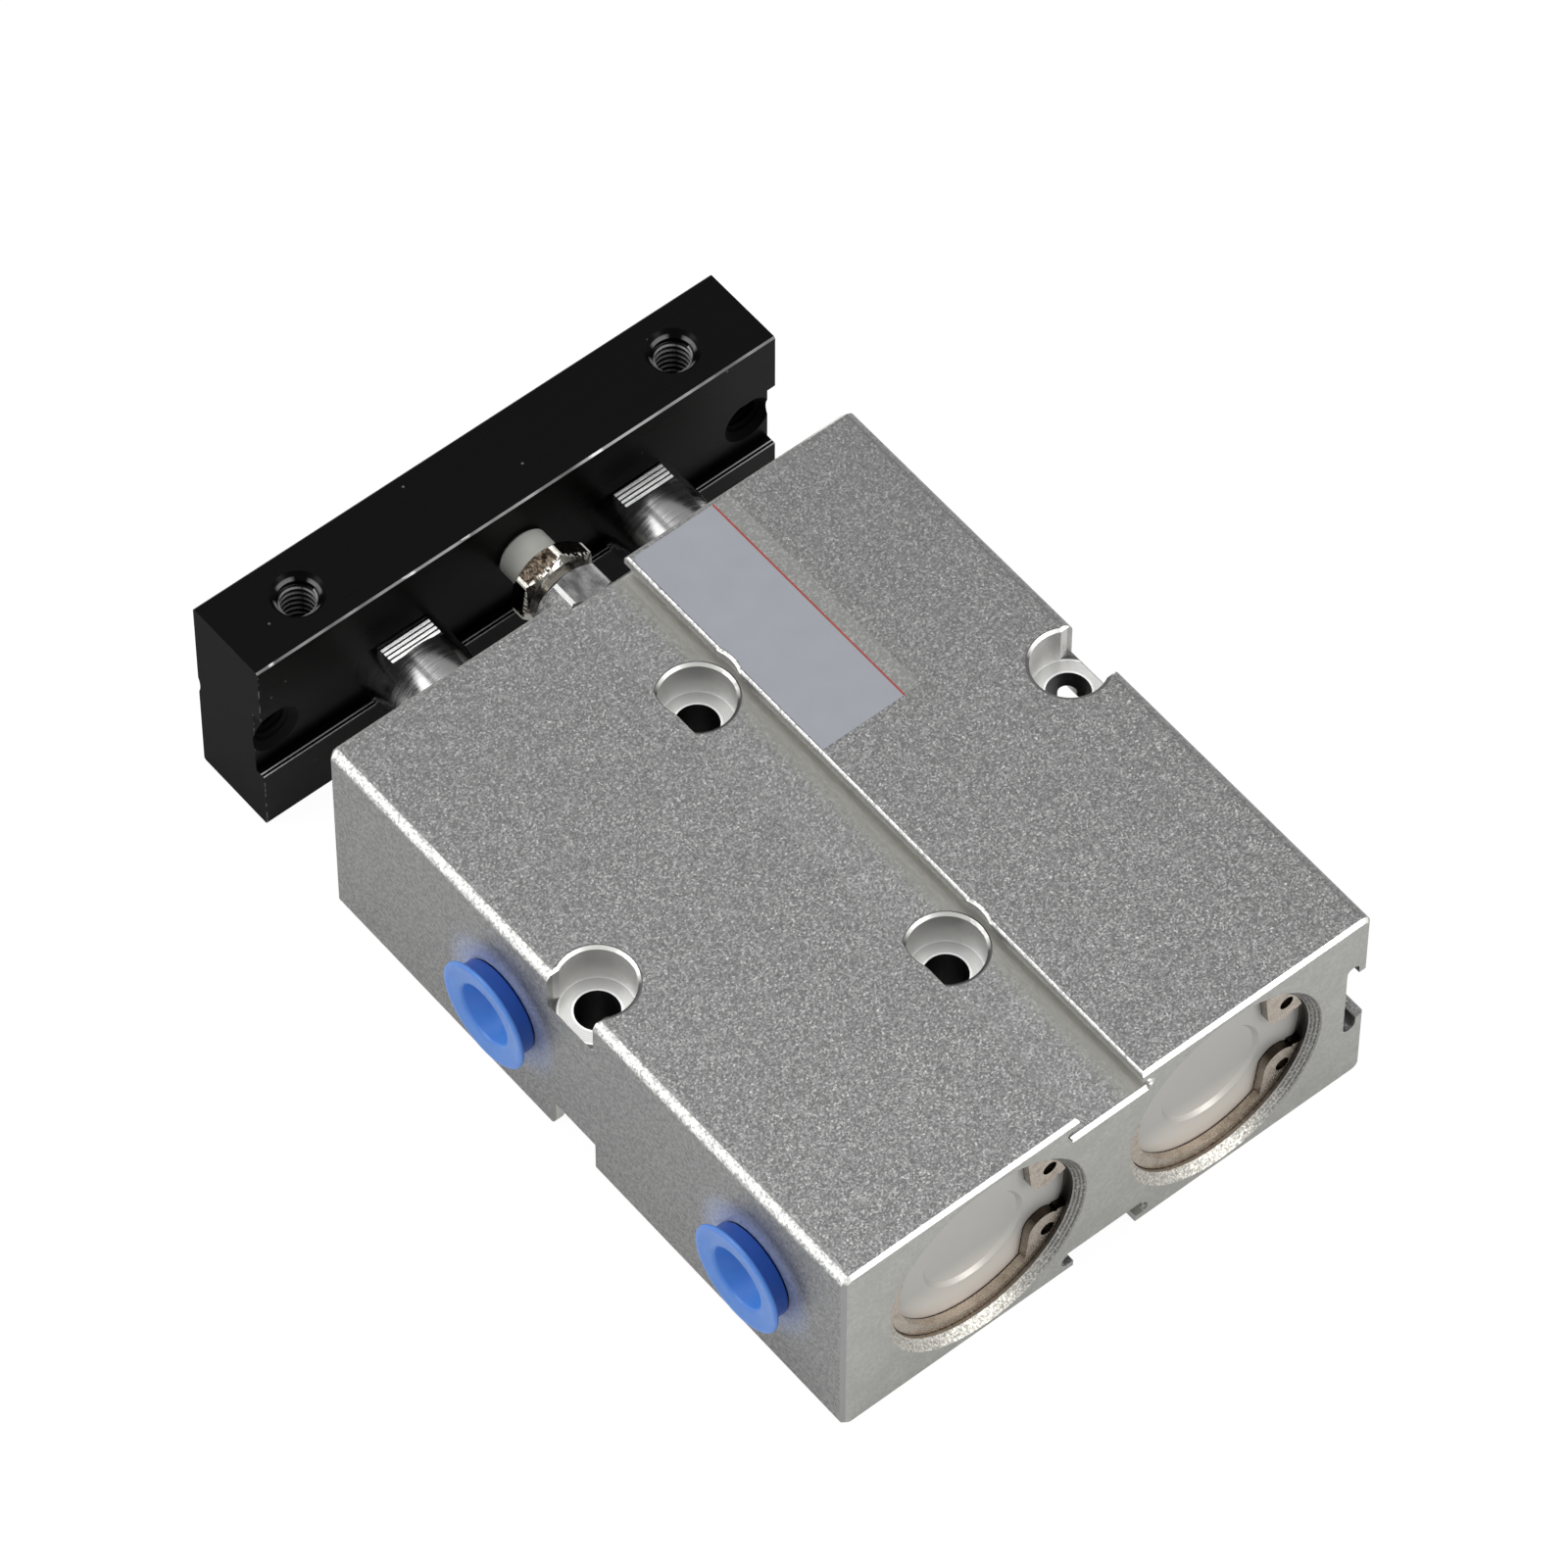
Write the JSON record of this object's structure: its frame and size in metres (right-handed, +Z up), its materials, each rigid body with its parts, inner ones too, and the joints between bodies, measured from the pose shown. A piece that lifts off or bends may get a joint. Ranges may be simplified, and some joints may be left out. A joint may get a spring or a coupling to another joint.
{
  "type": "twin-rod guided pneumatic cylinder",
  "caption": "Flat guided air cylinder: parallel rods in one grooved body carry a dark tool plate, with a screw stop between the rods and plugged side ports.",
  "frame": {"origin": "midway between the two screw holes on the centre line, at mid-height, on the plane of both rods", "axes": "+Y along the rods towards the tool plate, +Z up through the screw holes, +X towards the sensor groove; ports face -X"},
  "size_m": [0.066, 0.0978, 0.0254],
  "materials": {
    "anodised": "fine blasted, clear anodised",
    "cap": "smooth turned, clear anodised",
    "ring_steel": "dark phosphated spring steel, glossy",
    "rod_chrome": "hard chrome, ground",
    "plate_black": "black oxide steel, glossy",
    "screw_black": "black oxide steel, satin",
    "stop_chrome": "bright plated steel",
    "nut_silver": "satin plated steel",
    "tip_white": "matte off-white",
    "plug_blue": "smooth, blue",
    "piston_alu": "turned",
    "nut_steel": "plated",
    "seal_black": "black nitrile rubber",
    "cushion_pu": "amber polyurethane",
    "wear_band": "filled plastic band",
    "magnet": "plastic-bonded magnet",
    "bush_bronze": "sintered bronze"
  },
  "bodies": {
    "body": {"housing": "anodised", "rear_cap_left": "cap", "rear_cap_right": "cap", "rod_guide_left": "cap", "rod_guide_right": "cap", "rear_retaining_ring_left": "ring_steel", "rear_retaining_ring_right": "ring_steel", "front_retaining_ring_left": "ring_steel", "front_retaining_ring_right": "ring_steel", "stop_lock_nut": "nut_silver", "rear_cap_seal_left": "seal_black", "rear_cap_seal_right": "seal_black", "rod_guide_seal_left": "seal_black", "rod_guide_seal_right": "seal_black", "rod_seal_left": "seal_black", "rod_seal_right": "seal_black", "rear_cushion_left": "cushion_pu", "rear_cushion_right": "cushion_pu", "front_cushion_left": "cushion_pu", "front_cushion_right": "cushion_pu", "guide_bush_left": "bush_bronze", "guide_bush_right": "bush_bronze"},
    "carriage": {"tool_plate": "plate_black", "rod_left": "rod_chrome", "rod_right": "rod_chrome", "plate_screws": "screw_black", "piston_left": "piston_alu", "piston_right": "piston_alu", "piston_seal_left": "seal_black", "piston_seal_right": "seal_black", "wear_ring_left": "wear_band", "wear_ring_right": "wear_band", "piston_magnet_left": "magnet", "piston_magnet_right": "magnet", "piston_nut_left": "nut_steel", "piston_nut_right": "nut_steel"},
    "stop_slider": {"stop_tip": "tip_white"},
    "stop_bolt": {"stop_screw": "stop_chrome"},
    "front_plug": {"port_plug_front": "plug_blue"},
    "rear_plug": {"port_plug_rear": "plug_blue"}
  },
  "joints": [
    {"name": "carriage_slide", "type": "slide", "parent": "body", "child": "carriage", "axis": [0, 1, 0], "range_m": [0, 0.015]},
    {"name": "stop_adjust", "type": "slide", "parent": "body", "child": "stop_slider", "axis": [0, 1, 0], "range_m": [-0.0009, 0]},
    {"name": "stop_turn", "type": "hinge", "parent": "stop_slider", "child": "stop_bolt", "pos_m": [0, 0.0384, 0.0051], "axis": [0, 1, 0], "range_deg": [-406, 0]},
    {"name": "front_plug_pull", "type": "slide", "parent": "body", "child": "front_plug", "axis": [-1, 0, 0], "range_m": [0, 0.008]},
    {"name": "rear_plug_pull", "type": "slide", "parent": "body", "child": "rear_plug", "axis": [-1, 0, 0], "range_m": [0, 0.008]}
  ],
  "couplings": [
    {"joint": "stop_turn", "follows": "stop_adjust", "rad_per_m": 7854}
  ]
}
